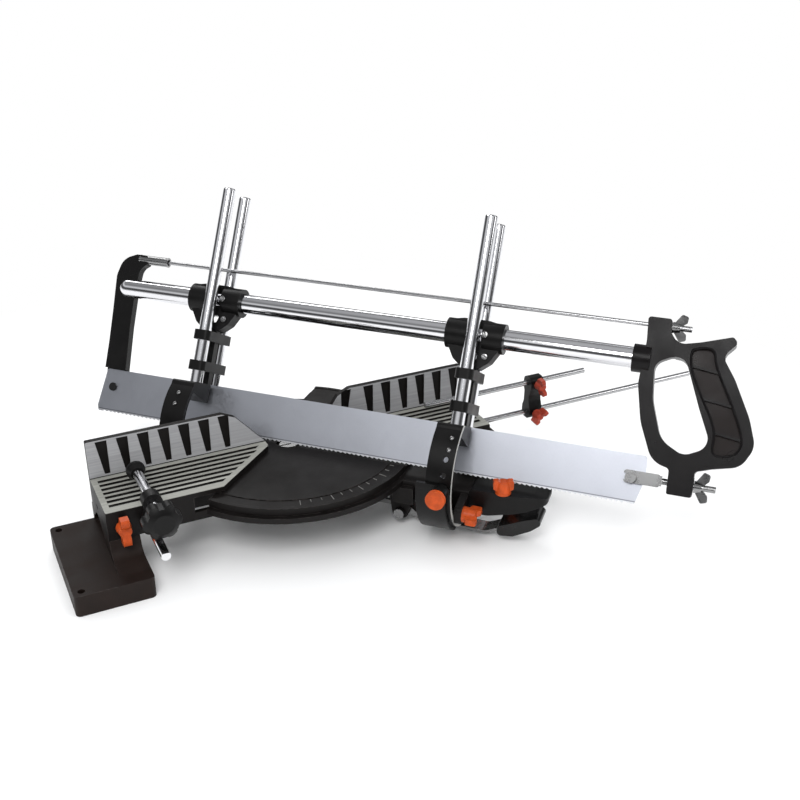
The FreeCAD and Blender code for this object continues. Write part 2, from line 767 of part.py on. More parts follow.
def makeTensionRod():
    return joined([
        tubeAlong(wireRadius, -189, 375, 0, wireHeight - 3.4),
        tubeAlong(wireRadius + 0.8, 373, 394, 0, wireHeight - 3.4),
    ])


def handleOutline():
    return [
        (352, 174, 3), (375, 174, 3), (375.5, 161, 6), (384, 150, 12), (404, 154.5, 80), (433, 163.5,
            3), (438, 158, 4), (426, 144, 9),
        (440, 124, 60), (458, 90, 60), (467, 64, 20), (457, 44, 18), (432, 38, 12), (417, 33, 4), (417,
            8, 2), (394, 8, 2),
        (393, 32, 4), (376, 36, 22), (360, 72, 60), (352, 108, 40), (354, 150, 40),
    ]


def handleOpening():
    return [(380, 138, 11), (364.5, 130, 12), (368, 95, 50), (381, 58, 24), (404, 46, 14), (428, 58, 13),
        (412, 92, 60), (393, 137, 11)]


def gripPocket():
    return [(396, 148, 4), (418, 151, 5), (421, 134, 20), (441, 100, 60), (456, 68, 14), (451, 53, 7),
        (428, 49, 6), (430, 74, 20), (412, 104, 60), (399, 128, 30)]


def makeHandle():
    half = handleThick / 2
    body = upright(handleOutline(), -half, half)
    slim = upright([(340, 0, 0), (394, 0, 0), (394, 40, 0), (382, 142, 0), (380, 180, 0), (340, 180, 0)],
        half - 5, half + 5)
    slimNear = upright([(340, 0, 0), (394, 0, 0), (394, 40, 0), (382, 142, 0), (380, 180, 0),
        (340, 180, 0)], -half - 5, -half + 5)
    body = body.cut(Part.makeCompound([slim, slimNear]))
    body = body.cut(upright(handleOpening(), -half - 1, half + 1))
    pockets = []
    for y0, y1 in ((-half - 1, -half + 4), (half - 4, half + 1)):
        pocket = upright(gripPocket(), y0, y1)
        ribs = [box(395, 462, y0 - 1, y1 + 1, z, z + 2.5) for z in (71, 99, 126)]
        for rib in ribs:
            rib.rotate(FreeCAD.Vector(428, 0, 100), across, 8)
        pockets.append(pocket.cut(Part.makeCompound(ribs)))
    body = body.cut(Part.makeCompound(pockets))
    collar = tubeAlong(tubeRadius + 3.2, 343, 360, 0, tubeHeight)
    boss = tubeAlong(8.5, 393.5, 417.5, 0, 19)
    body = joined([body, collar, boss])
    bores = [
        tubeAlong(tubeRadius, 340, tubeFront, 0, tubeHeight),
        tubeAlong(wireRadius + 0.8 + 0.1, 340, 380, 0, wireHeight - 3.4),
        tubeAlong(3.1, 390, 420, 0, 19),
    ]
    return body.cut(Part.makeCompound(bores))


def makeBladeFork():
    """Forked draw bolt that hooks the blade's front pin and tightens through the handle."""
    prongs = [
        upright([(352, 25, 3), (386, 25, 2), (386, 12.5, 2), (352, 12.5, 3)], y0, y0 + 2.6)
        for y0 in (-bladeThick / 2 - 0.05 - 2.6, bladeThick / 2 + 0.05)
    ]
    neck = box(378, 388, -3.1, 3.1, 14, 24)
    shank = tubeAlong(3.0, 387, 438, 0, 19)
    slots = [upright([(349, 21.5, 0), (360, 21.5, 0), (360, 15.4, 0), (349, 15.4, 0)], -4, 4)]
    pinHole = rod(3.1, 20, 359, -10, 18, across)
    whole = joined(prongs + [neck, shank]).cut(Part.makeCompound(slots)).cut(pinHole)
    return whole.cut(box(340, bladeRear + bladeLength + 2, -bladeThick / 2 - 0.05, bladeThick / 2 + 0.05,
        0, 60))


def makeBladePin():
    return joined([rod(3, 12, 359, -6, 18, across), rod(5.5, 1.8, 359, -7.4, 18, across)])


# Work clamp

def makeClampBar():
    bar = rod(4.5, -clampBarEnd - wingDepth + 24, clampBarX, -wingDepth + 24, clampBarZ,
        FreeCAD.Vector(0, -1, 0))
    return bar.cut(box(clampBarX - 8, clampBarX + 8, clampBarEnd - 1, -wingDepth,
        clampBarZ + clampBarFlat, clampBarZ + 8))


def makeClampBracket():
    lean = math.degrees(math.atan2(clampScrewX - clampBarX, clampScrewZ - clampBarZ))
    reach = math.hypot(clampScrewX - clampBarX, clampScrewZ - clampBarZ)
    y0 = clampBracketY - 6
    y1 = clampBracketY + 6
    lower = rod(8.5, 12, 0, y0, 0, across)
    upper = rod(9.5, 12, 0, y0, reach, across)
    web = upright([(-5.5, 0, 0), (5.5, 0, 0), (6.5, reach, 0), (-6.5, reach, 0)], y0 + 1.5, y1 - 1.5)
    body = joined([lower, upper, web])
    body.rotate(origin, across, lean)
    body.translate(FreeCAD.Vector(clampBarX, 0, clampBarZ))
    screw = rod(5.0 + runningGap, 40, clampScrewX, y0 - 10, clampScrewZ, across)
    bar = rod(4.5 + runningGap, 40, clampBarX, y0 - 10, clampBarZ, across)
    bar = bar.cut(box(clampBarX - 8, clampBarX + 8, y0 - 20, y1 + 40,
        clampBarZ + clampBarFlat + runningGap, clampBarZ + 8))
    return body.cut(screw).cut(bar)


def makeClampPad():
    lip = rod(9.5, 3, clampScrewX, clampPadY, clampScrewZ, FreeCAD.Vector(0, -1, 0))
    cup = cone(9.5, 6.5, 6, clampScrewX, clampPadY - 3, clampScrewZ, FreeCAD.Vector(0, -1, 0))
    socket = rod(3.5 + runningGap, 6, clampScrewX, clampPadY - 4, clampScrewZ, FreeCAD.Vector(0, -1, 0))
    return joined([lip, cup]).cut(socket)


def makeClampScrew():
    nose = rod(3.5, 6, clampScrewX, clampPadY - 4.4, clampScrewZ, FreeCAD.Vector(0, -1, 0))
    shank = rod(5.0, clampPadY - 10 - clampKnobY, clampScrewX, clampPadY - 10, clampScrewZ,
        FreeCAD.Vector(0, -1, 0))
    return joined([nose, shank])


def makeClampKnob():
    lobes = []
    for i in range(6):
        angle = math.radians(60 * i)
        lobes.append(rod(5.5, 15, 13 * math.cos(angle), 13 * math.sin(angle), 0, up))
    core = joined([cone(9, 12, 5, 0, 0, -5, up), rod(15, 15, 0, 0, 0, up)] + lobes)
    dome = Part.makeSphere(26, FreeCAD.Vector(0, 0, -9))
    whole = core.common(dome)
    return aimed(whole, FreeCAD.Vector(0, -1, 0), clampScrewX, clampKnobY + 6, clampScrewZ).cut(
        rod(5.0, 30, clampScrewX, clampKnobY + 20, clampScrewZ, FreeCAD.Vector(0, -1, 0)).common(
            box(-300, 0, clampKnobY, 0, 0, 200)))


# Length stop

def makeStopRod():
    return tubeAlong(stopRodRadius, stopRodStart, stopRodEnd, -socketBack, socketHeight)


def makeStopFinger():
    return tubeAlong(stopRodRadius, stopFingerStart, stopFingerEnd, -stopFingerBack, stopFingerHeight)


def makeStopLink():
    rise = stopFingerHeight - socketHeight
    lean = math.degrees(math.atan2(socketBack - stopFingerBack, rise))
    reach = math.hypot(socketBack - stopFingerBack, rise)
    x0 = stopLinkX - 8
    x1 = stopLinkX + 8
    outline = [(-8, -7, 6), (8, -7, 6), (8, 6, 3), (5.5, 12, 8), (5.5, reach - 12, 8), (8, reach - 6, 3),
        (8, reach + 7, 6), (-8, reach + 7, 6),
               (-8, reach - 6, 3), (-3, reach / 2, 14), (-8, 6, 3)]
    body = crosswise(outline, x0, x1)
    body.rotate(origin, along, -lean)
    body.translate(FreeCAD.Vector(0, -socketBack, socketHeight))
    bores = [
        tubeAlong(stopRodRadius + runningGap, x0 - 5, x1 + 5, -socketBack, socketHeight),
        tubeAlong(stopRodRadius + runningGap, x0 - 5, x1 + 5, -stopFingerBack, stopFingerHeight),
    ]
    threads = [rod(2.5 + 0.05, 30, stopLinkX, y, z, FreeCAD.Vector(0, -1, 0)) for y, z in
               ((-socketBack, socketHeight), (-stopFingerBack, stopFingerHeight))]
    return body.cut(Part.makeCompound(bores + threads))


def makeLinkScrew(y, z, roll):
    seat = y - 10.2
    screw = rod(2.5, 8, stopLinkX, y - 3.4, z, FreeCAD.Vector(0, -1, 0))
    head = aimed(wingKnob(5.5, 9, 20, 13, 4.5), FreeCAD.Vector(0, -1, 0), stopLinkX, seat, z, roll)
    return joined([screw, head])


# Wing screws on the column faces, that lock the rods in their sockets

def makeColumnScrew(side):
    x = side * 192.5
    z = 54.0
    head = aimed(wingKnob(7.5, 10, 28, 14, 8), FreeCAD.Vector(0, -1, 0), x, -wingDepth - 1.0, z, 90)
    return joined([head, rod(3, 22, x, -wingDepth + 20, z, FreeCAD.Vector(0, -1, 0))])


def columnScrewBore(side):
    return rod(3.05, 24, side * 192.5, -wingDepth + 22, 54.0, FreeCAD.Vector(0, -1, 0))


# Lock knobs on the arm

def makeBevelKnob():
    x = armEnd
    head = aimed(wingKnob(8, 11, 28, 14, 6), along, x + 2, -lockReach, 42, 90)
    washer = tubeAlong(8, x, x + 2.2, -lockReach, 42)
    return joined([head, washer])


def makeMitreKnob():
    seat = tableHeight - 11
    washer = rod(8, 1.6, 240, -17, seat, up)
    return joined([washer, aimed(wingKnob(7.5, 11, 20, 13, 6), up, 240, -17, seat + 1.5, 20)])


# Every piece with its frame

def write(name, shape):
    shape.exportStep(os.path.join("parts", name + ".step"))
    print(name, shape.isValid(), len(shape.Solids), round(shape.Volume))


def main():
    os.makedirs("parts", exist_ok=True)
    bed = makeBed().cut(Part.makeCompound([columnScrewBore(-1), columnScrewBore(1)]))
    foot = makeLeftFoot()
    write("bed_casting", placeBed(bed))
    write("foot_left", placeBed(foot))
    write("foot_right", placeBed(mirrored(foot)))
    write("column_screw_left", placeBed(makeColumnScrew(-1)))
    write("column_screw_right", placeBed(makeColumnScrew(1)))
    write("pivot_bolt", placeBed(makePivotBolt()))
    write("turntable", placeTurned(makeTurntable()))
    write("front_shoe", placeTurnedAtTable(makeFrontShoe()))
    write("rear_shoe", placeTurnedAtTable(makeRearShoe()))
    write("bevel_keeper", placeTurnedAtTable(makeKeeper()))
    write("bevel_plunger", placeTurnedAtTable(makePlunger()))
    write("front_grip", placeTurned(makeGrip()))
    write("index_lever", placeTurned(makeLever()))
    write("lever_grip", placeTurned(makeLeverGrip()))
    write("lever_pin", placeTurned(makeLeverPin()))
    write("bevel_lock_knob", placeTurned(makeBevelKnob()))
    write("mitre_lock_knob", placeTurned(makeMitreKnob()))
    write("front_bracket", placeLeant(makeBracket(postFront, indexHoles())))
    write("rear_bracket", placeLeant(makeBracket(postRear, [])))
    write("front_posts", placeLeant(makePosts(postFront)))
    write("rear_posts", placeLeant(makePosts(postRear)))
    for end, middle in (("front", postFront), ("rear", postRear)):
        write(end + "_guide", placeLeant(makeGuide(middle)))
        write(end + "_stem", placeLeant(makeStem(middle)))
        write(end + "_upper_bar", placeLeant(makeBar(middle, *upperBar)))
        write(end + "_lower_bar", placeLeant(makeBar(middle, *lowerBar)))
    write("saw_blade", placeLeant(makeBlade()))
    write("saw_tube", placeLeant(makeTube()))
    write("rear_arm", placeLeant(makeRearArm()))
    write("blade_rivet", placeLeant(makeRivet()))
    write("tension_rod", placeLeant(makeTensionRod()))
    write("saw_handle", placeLeant(makeHandle()))
    write("blade_fork", placeLeant(makeBladeFork()))
    write("blade_pin", placeLeant(makeBladePin()))
    topNut = aimed(wingNut(wireRadius + 0.85, 5.5, 7, 27), along, 375.6, 0, wireHeight - 3.4, 10)
    write("tension_wing_nut", placeLeant(topNut))
    lowNut = aimed(wingNut(3.05, 6, 7, 30), along, 418, 0, 19, 10)
    write("blade_wing_nut", placeLeant(lowNut))
    write("clamp_bar", placeBed(makeClampBar()))
    write("clamp_bracket", placeBed(makeClampBracket()))
    write("clamp_pad", placeBed(makeClampPad()))
    write("clamp_screw", placeBed(makeClampScrew()))
    write("clamp_knob", placeBed(makeClampKnob()))
    write("stop_rod", placeBed(makeStopRod()))
    write("stop_finger", placeBed(makeStopFinger()))
    write("stop_link", placeBed(makeStopLink()))
    write("link_screw_lower", placeBed(makeLinkScrew(-socketBack, socketHeight, 40)))
    write("link_screw_upper", placeBed(makeLinkScrew(-stopFingerBack, stopFingerHeight, 100)))


main()
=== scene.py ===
import bpy
import bmesh
import json
import math
from mathutils import Vector, Matrix


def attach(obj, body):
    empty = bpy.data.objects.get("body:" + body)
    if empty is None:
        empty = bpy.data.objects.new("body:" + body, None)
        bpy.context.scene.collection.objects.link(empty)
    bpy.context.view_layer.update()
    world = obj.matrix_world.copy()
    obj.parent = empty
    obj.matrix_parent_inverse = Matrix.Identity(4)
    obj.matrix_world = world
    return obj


# The mitre guillotine on a pale studio floor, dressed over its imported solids.

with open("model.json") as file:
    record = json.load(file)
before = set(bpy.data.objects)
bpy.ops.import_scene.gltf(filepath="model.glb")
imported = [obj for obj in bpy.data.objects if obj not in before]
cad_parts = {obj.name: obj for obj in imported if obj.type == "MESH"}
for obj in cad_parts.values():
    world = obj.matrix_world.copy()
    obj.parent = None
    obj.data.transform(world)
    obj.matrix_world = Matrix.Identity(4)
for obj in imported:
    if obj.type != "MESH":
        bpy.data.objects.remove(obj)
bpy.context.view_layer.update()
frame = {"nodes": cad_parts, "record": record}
nodes = frame["nodes"]
print("solids loaded", len(nodes))

# Where the tool's own frames lie: the arm swings about the bed's pivot, the saw leans about the arm
bed = {"pivotY": 0.0535, "tableTop": 0.072, "mitre": -45, "lean": -30}
swing = Matrix.Translation((0, bed["pivotY"], 0)) @ Matrix.Rotation(math.radians(bed["mitre"]), 4, "Z")
armTop = swing @ Matrix.Translation((0, 0, bed["tableTop"]))
lean = armTop @ Matrix.Rotation(math.radians(bed["lean"]), 4, "X")


# Node helpers

def newMaterial(name):
    mat = bpy.data.materials.new(name)
    mat.use_nodes = True
    tree = mat.node_tree
    tree.nodes.clear()
    out = tree.nodes.new("ShaderNodeOutputMaterial")
    shader = tree.nodes.new("ShaderNodeBsdfPrincipled")
    tree.links.new(shader.outputs["BSDF"], out.inputs["Surface"])
    return mat, tree, shader


def newGroup(name, inputs, outputs):
    group = bpy.data.node_groups.new(name, "ShaderNodeTree")
    for label, kind, value in inputs:
        socket = group.interface.new_socket(name=label, in_out="INPUT", socket_type=kind)
        socket.default_value = value
    for label, kind in outputs:
        group.interface.new_socket(name=label, in_out="OUTPUT", socket_type=kind)
    start = group.nodes.new("NodeGroupInput")
    end = group.nodes.new("NodeGroupOutput")
    return group, start, end


def mathNode(tree, kind, a, b=0.0):
    node = tree.nodes.new("ShaderNodeMath")
    node.operation = kind
    for i, value in enumerate((a, b)):
        if isinstance(value, (int, float)):
            node.inputs[i].default_value = value
        else:
            tree.links.new(value, node.inputs[i])
    return node.outputs[0]


def allOf(tree, *masks):
    # A mask that holds where every one of the masks does
    whole = masks[0]
    for mask in masks[1:]:
        whole = mathNode(tree, "MULTIPLY", whole, mask)
    return whole


def above(tree, value, limit):
    return mathNode(tree, "GREATER_THAN", value, limit)


def below(tree, value, limit):
    return mathNode(tree, "LESS_THAN", value, limit)


def between(tree, value, low, high):
    return allOf(tree, above(tree, value, low), below(tree, value, high))


def mixColour(tree, factor, a, b, blend="MIX"):
    node = tree.nodes.new("ShaderNodeMix")
    node.data_type = "RGBA"
    node.blend_type = blend
    for index, value in ((0, factor), (6, a), (7, b)):
        if isinstance(value, (int, float, tuple)):
            node.inputs[index].default_value = value
        else:
            tree.links.new(value, node.inputs[index])
    return node.outputs[2]


def noiseNode(tree, place, scale, detail=3.0, rough=0.5):
    node = tree.nodes.new("ShaderNodeTexNoise")
    node.inputs["Scale"].default_value = scale
    node.inputs["Detail"].default_value = detail
    node.inputs["Roughness"].default_value = rough
    tree.links.new(place, node.inputs["Vector"])
    return node.outputs["Fac"]


def rampNode(tree, factor, low, high, lowValue=0.0, highValue=1.0):
    node = tree.nodes.new("ShaderNodeMapRange")
    node.clamp = True
    node.inputs["From Min"].default_value = low
    node.inputs["From Max"].default_value = high
    node.inputs["To Min"].default_value = lowValue
    node.inputs["To Max"].default_value = highValue
    tree.links.new(factor, node.inputs["Value"])
    return node.outputs["Result"]


def objectPlace(tree, stretch=None):
    place = tree.nodes.new("ShaderNodeTexCoord").outputs["Object"]
    if stretch is None:
        return place
    mapping = tree.nodes.new("ShaderNodeMapping")
    mapping.vector_type = "POINT"
    mapping.inputs["Scale"].default_value = stretch
    tree.links.new(place, mapping.inputs["Vector"])
    return mapping.outputs["Vector"]


def splitPlace(tree, vector):
    split = tree.nodes.new("ShaderNodeSeparateXYZ")
    tree.links.new(vector, split.inputs[0])
    return split.outputs


def placeInFrame(tree, frameMatrix):
    # Coordinates in one of the tool's own frames, such as the leant saw's, with the tool at rest
    back = frameMatrix.inverted()
    mapping = tree.nodes.new("ShaderNodeMapping")
    mapping.vector_type = "POINT"
    mapping.inputs["Location"].default_value = back.to_translation()
    mapping.inputs["Rotation"].default_value = back.to_euler("XYZ")
    tree.links.new(tree.nodes.new("ShaderNodeTexCoord").outputs["Object"], mapping.inputs["Vector"])
    return splitPlace(tree, mapping.outputs["Vector"])


def bumpNode(tree, shader, height, strength, distance):
    node = tree.nodes.new("ShaderNodeBump")
    node.inputs["Strength"].default_value = strength
    node.inputs["Distance"].default_value = distance
    tree.links.new(height, node.inputs["Height"])
    tree.links.new(node.outputs["Normal"], shader.inputs["Normal"])


def baseOf(shader):
    return shader.inputs["Base Color"].links[0].from_socket


def deeper(colour, share):
    return tuple(c * share for c in colour[:3]) + (1,)


# Effects that several finishes share

def buildEdgeWear():
    group, start, end = newGroup(
        "edgeWear",
        [("Place", "NodeSocketVector", (0, 0, 0)), ("Width", "NodeSocketFloat", 0.0012),
         ("Breakup", "NodeSocketFloat", 160.0)],
        [("Mask", "NodeSocketFloat")],
    )
    links = group.links
    soft = group.nodes.new("ShaderNodeBevel")
    soft.samples = 4
    links.new(start.outputs["Width"], soft.inputs["Radius"])
    geometry = group.nodes.new("ShaderNodeNewGeometry")
    dot = group.nodes.new("ShaderNodeVectorMath")
    dot.operation = "DOT_PRODUCT"
    links.new(soft.outputs["Normal"], dot.inputs[0])
    links.new(geometry.outputs["Normal"], dot.inputs[1])
    edge = rampNode(group, dot.outputs["Value"], 0.97, 0.80)
    noise = group.nodes.new("ShaderNodeTexNoise")
    noise.inputs["Detail"].default_value = 4.0
    links.new(start.outputs["Place"], noise.inputs["Vector"])
    links.new(start.outputs["Breakup"], noise.inputs["Scale"])
    broken = rampNode(group, noise.outputs["Fac"], 0.42, 0.62)
    links.new(mathNode(group, "MULTIPLY", edge, broken), end.inputs["Mask"])
    return group


def buildGrain():
    group, start, end = newGroup(
        "surfaceGrain",
        [("Place", "NodeSocketVector", (0, 0, 0)), ("Coarse", "NodeSocketFloat", 60.0),
         ("Fine", "NodeSocketFloat", 900.0)],
        [("Blotch", "NodeSocketFloat"), ("Height", "NodeSocketFloat")],
    )
    for label, socket, detail in (("Coarse", "Blotch", 3.0), ("Fine", "Height", 5.0)):
        noise = group.nodes.new("ShaderNodeTexNoise")
        noise.inputs["Detail"].default_value = detail
        group.links.new(start.outputs["Place"], noise.inputs["Vector"])
        group.links.new(start.outputs[label], noise.inputs["Scale"])
        group.links.new(noise.outputs["Fac"], end.inputs[socket])
    return group


edgeWear = buildEdgeWear()
surfaceGrain = buildGrain()


def useGroup(tree, group, place, **values):
    node = tree.nodes.new("ShaderNodeGroup")
    node.node_tree = group
    tree.links.new(place, node.inputs["Place"])
    for label, value in values.items():
        node.inputs[label].default_value = value
    return node


# Finishes

paint = {"dark": 0.72, "roughSpread": 0.07, "specular": 0.17, "bumpDistance": 0.0004}
metal = {"cloudScale": 22.0, "smoothest": 0.75, "roughest": 1.3, "bumpDistance": 0.0002}


def paintedFinish(name, colour, worn, rough, bump, coarse=45.0, fine=1100.0, wear=0.5, width=0.0012):
    mat, tree, shader = newMaterial(name)
    place = objectPlace(tree)
    grain = useGroup(tree, surfaceGrain, place, Coarse=coarse, Fine=fine)
    edge = useGroup(tree, edgeWear, place, Width=width)
    blotch = grain.outputs["Blotch"]
    lively = mixColour(tree, rampNode(tree, blotch, 0.35, 0.65), deeper(colour, paint["dark"]), colour)
    mask = mathNode(tree, "MULTIPLY", edge.outputs["Mask"], wear)
    tree.links.new(mixColour(tree, mask, lively, worn), shader.inputs["Base Color"])
    spread = paint["roughSpread"]
    uneven = rampNode(tree, blotch, 0.3, 0.7, rough - spread, rough + spread)
    tree.links.new(uneven, shader.inputs["Roughness"])
    shader.inputs["Specular IOR Level"].default_value = paint["specular"]
    bumpNode(tree, shader, grain.outputs["Height"], bump, paint["bumpDistance"])
    return mat, tree, shader


def bareMetal(name, colour, rough, grainScale, bump, tint=0.85):
    mat, tree, shader = newMaterial(name)
    shader.inputs["Metallic"].default_value = 1.0
    line = noiseNode(tree, objectPlace(tree, (grainScale, grainScale, grainScale)), 1.0, 4.0, 0.6)
    cloud = noiseNode(tree, objectPlace(tree), metal["cloudScale"], 2.0)
    tree.links.new(mixColour(tree, cloud, deeper(colour, tint), colour), shader.inputs["Base Color"])
    uneven = rampNode(tree, line, 0.3, 0.7, rough * metal["smoothest"], rough * metal["roughest"])
    tree.links.new(uneven, shader.inputs["Roughness"])
    bumpNode(tree, shader, line, bump, metal["bumpDistance"])
    return mat, tree, shader


finish = {
    "cast": (0.0075, 0.0062, 0.0058, 1),
    "castWorn": (0.09, 0.08, 0.075, 1),
    "foot": (0.017, 0.0105, 0.0085, 1),
    "plastic": (0.0055, 0.0052, 0.0052, 1),
    "handle": (0.0048, 0.0038, 0.0042, 1),
    # painted shade for the floors of the handle's pockets
    "handlePocketShade": (0.0075, 0.0032, 0.0026, 1),
    "partingLine": (0.04, 0.04, 0.04, 1),
    "blackWorn": (0.05, 0.05, 0.05, 1),
    "orange": (0.52, 0.075, 0.014, 1),
    "orangeWorn": (0.75, 0.25, 0.08, 1),
    "red": (0.42, 0.055, 0.030, 1),
    "redWorn": (0.65, 0.2, 0.12, 1),
    "rubber": (0.010, 0.010, 0.010, 1),
    "machined": (0.34, 0.34, 0.31, 1),
    "fenceGrey": (0.36, 0.36, 0.37, 1),
    "ringRim": (0.42, 0.42, 0.40, 1),
    "blade": (0.60, 0.62, 0.68, 1),
    "toothBright": (0.8, 0.8, 0.82, 1),
    "toothDark": (0.05, 0.05, 0.06, 1),
    "chrome": (0.76, 0.76, 0.78, 1),
    "rod": (0.46, 0.46, 0.47, 1),
    "zinc": (0.30, 0.30, 0.30, 1),
    "rivet": (0.05, 0.05, 0.05, 1),
    "scale": (0.16, 0.16, 0.15, 1),
    "scaleWorn": (0.3, 0.3, 0.3, 1),
}
plasticLook = {"rough": 0.38, "bump": 0.12, "fine": 1600.0, "wear": 0.3}
handleLook = {"rough": 0.34, "bump": 0.16, "fine": 1300.0, "wear": 0.3}
knobLook = {"bump": 0.08, "coarse": 150.0, "wear": 0.5, "width": 0.0006}

castBlack, _, _ = paintedFinish("castBlack", finish["cast"], finish["castWorn"], 0.5, 0.25)
footBrown, _, _ = paintedFinish("footBrown", finish["foot"], finish["castWorn"], 0.55, 0.35)
blackPlastic, _, _ = paintedFinish("blackPlastic", finish["plastic"], finish["blackWorn"], **plasticLook)
handlePlastic, _, _ = paintedFinish("handlePlastic", finish["handle"], finish["blackWorn"], **handleLook)
orangePlastic, _, _ = paintedFinish("orangePlastic", finish["orange"], finish["orangeWorn"], 0.35, **knobLook)
redPlastic, _, _ = paintedFinish("redPlastic", finish["red"], finish["redWorn"], 0.38, **knobLook)
rubberBlack, _, rubberShader = paintedFinish(
    "rubberBlack", finish["rubber"], finish["blackWorn"], 0.2, 0.05, wear=0.1)
rubberShader.inputs["Coat Weight"].default_value = 0.3
scalePaint, _, _ = paintedFinish("scalePaint", finish["scale"], finish["scaleWorn"], 0.5, 0.1)
chromePlate, _, _ = bareMetal("chromePlate", finish["chrome"], 0.10, 900, 0.01, tint=0.93)
rodSteel, _, _ = bareMetal("rodSteel", finish["rod"], 0.22, 900, 0.01, tint=0.9)
zincPlate, _, _ = bareMetal("zincPlate", finish["zinc"], 0.28, 90, 0.004)
darkRivet, _, _ = bareMetal("darkRivet", finish["rivet"], 0.35, 700, 0.05)

groundFaces = {
    "square": 0.9, "tableSlack": 0.0003, "ribSlack": 0.0004, "ribLift": 0.001,
    "scratch": (8, 700, 700), "tableDark": 0.7, "ribDark": 0.8,
}


def machinedCast():
    # Black casting whose table ridges and fence ribs are ground bright
    mat, tree, shader = paintedFinish("machinedCast", finish["cast"], finish["castWorn"], 0.5, 0.25)
    at = splitPlace(tree, objectPlace(tree))
    way = splitPlace(tree, tree.nodes.new("ShaderNodeNewGeometry").outputs["Normal"])
    top, fence = bed["tableTop"], bed["pivotY"]
    slack, ribSlack = groundFaces["tableSlack"], groundFaces["ribSlack"]
    tableMask = allOf(tree, between(tree, at["Z"], top - slack, top + slack),
                      above(tree, way["Z"], groundFaces["square"]))
    ribMask = allOf(tree, between(tree, at["Y"], fence - ribSlack, fence + ribSlack),
                    below(tree, way["Y"], -groundFaces["square"]),
                    above(tree, at["Z"], top + groundFaces["ribLift"]))
    base = baseOf(shader)
    scratched = rampNode(tree, noiseNode(tree, objectPlace(tree, groundFaces["scratch"]), 1.0, 3.0), 0.3, 0.7)
    bright = mixColour(tree, scratched, deeper(finish["machined"], groundFaces["tableDark"]), finish["machined"])
    grey = mixColour(tree, scratched, deeper(finish["fenceGrey"], groundFaces["ribDark"]), finish["fenceGrey"])
    colour = mixColour(tree, ribMask, mixColour(tree, tableMask, base, bright), grey)
    tree.links.new(colour, shader.inputs["Base Color"])
    return mat


bladeMarks = {
    # rearEnd, litFrom and rearShade set the painted shade that darkens the blade towards its rear end
    "rearEnd": -0.23, "litFrom": 0.10, "rearShade": 0.74,
    "lineTop": -0.0042, "toothTop": -0.0052, "toothFull": -0.0058, "line": 0.6, "tooth": 0.7,
}


def shadedBlade():
    # Painted shade darkens the blade towards the rear end, with the ground tooth line bright and a thin dark
    # line above it
    marks = bladeMarks
    mat, tree, shader = bareMetal("bladeSteel", finish["blade"], 0.38, 500, 0.02)
    at = placeInFrame(tree, lean)
    rear = rampNode(tree, at["X"], marks["rearEnd"], marks["litFrom"], marks["rearShade"], 1.0)
    shaded = mixColour(tree, 1.0, baseOf(shader), rear, blend="MULTIPLY")
    line = mathNode(tree, "MULTIPLY", between(tree, at["Z"], marks["toothTop"], marks["lineTop"]), marks["line"])
    tooth = rampNode(tree, at["Z"], marks["toothTop"], marks["toothFull"])
    shaded = mixColour(tree, line, shaded, finish["toothDark"])
    shaded = mixColour(tree, mathNode(tree, "MULTIPLY", tooth, marks["tooth"]), shaded, finish["toothBright"])
    tree.links.new(shaded, shader.inputs["Base Color"])
    return mat


ringRim = {"face": 0.1983, "inner": 0.0563, "outer": 0.0603}


def ringedBracket():
    # Black moulding whose front edge, on the ring beside the handle, is coloured light grey as a rim
    mat, tree, shader = paintedFinish("ringedBracket", finish["plastic"], finish["blackWorn"], **plasticLook)
    at = placeInFrame(tree, lean)
    squares = [mathNode(tree, "MULTIPLY", side, side) for side in (at["Y"], at["Z"])]
    radius = mathNode(tree, "SQRT", mathNode(tree, "ADD", *squares))
    rim = allOf(tree, above(tree, at["X"], ringRim["face"]),
                between(tree, radius, ringRim["inner"], ringRim["outer"]))
    tree.links.new(mixColour(tree, rim, baseOf(shader), finish["ringRim"]), shader.inputs["Base Color"])
    return mat


handleMarks = {"lineHalf": 0.00018, "line": 0.5, "pocketShadeFloor": (0.0088, 0.0092)}


def partedHandle():
    # Moulded grip with the fine parting line of its two halves, and painted shade, a browner colour, on the
    # floors of its pockets
    mat, tree, shader = paintedFinish("partedHandle", finish["handle"], finish["blackWorn"], **handleLook)
    across = mathNode(tree, "ABSOLUTE", placeInFrame(tree, lean)["Y"])
    line = mathNode(tree, "MULTIPLY", below(tree, across, handleMarks["lineHalf"]), handleMarks["line"])
    # painted shade on the pocket floors
    pocket = between(tree, across, *handleMarks["pocketShadeFloor"])
    pocketShaded = mixColour(tree, pocket, baseOf(shader), finish["handlePocketShade"])
    tree.links.new(mixColour(tree, line, pocketShaded, finish["partingLine"]), shader.inputs["Base Color"])
    return mat


slotFinish = {
    "cast": castBlack,
    "foot_cast": footBrown,
    "black_plastic": blackPlastic,
    "handle_plastic": handlePlastic,
    "steel_blade": shadedBlade(),
    "chrome_tube": chromePlate,
    "zinc": zincPlate,
    "knob_orange": orangePlastic,
    "knob_red": redPlastic,
    "rubber_grip": rubberBlack,
}
ownFinish = {
    "bed_casting": machinedCast(), "front_bracket": ringedBracket(), "saw_handle": partedHandle(),
    "stop_rod": rodSteel, "stop_finger": rodSteel, "tension_rod": rodSteel, "blade_rivet": darkRivet,
}
slotOf = {part["node"]: part["material_slot"] for part in frame["record"]["subparts"]}
for name, obj in nodes.items():
    obj.data.materials.clear()
    obj.data.materials.append(ownFinish.get(name) or slotFinish[slotOf[name]])
print("finishes made")


# Small pieces, each made at the origin with its seat on z = 0, then set in the frame of what carries it

def deselect():
    if bpy.context.object and bpy.context.object.mode != "OBJECT":
        bpy.ops.object.mode_set(mode="OBJECT")
    bpy.ops.object.select_all(action="DESELECT")


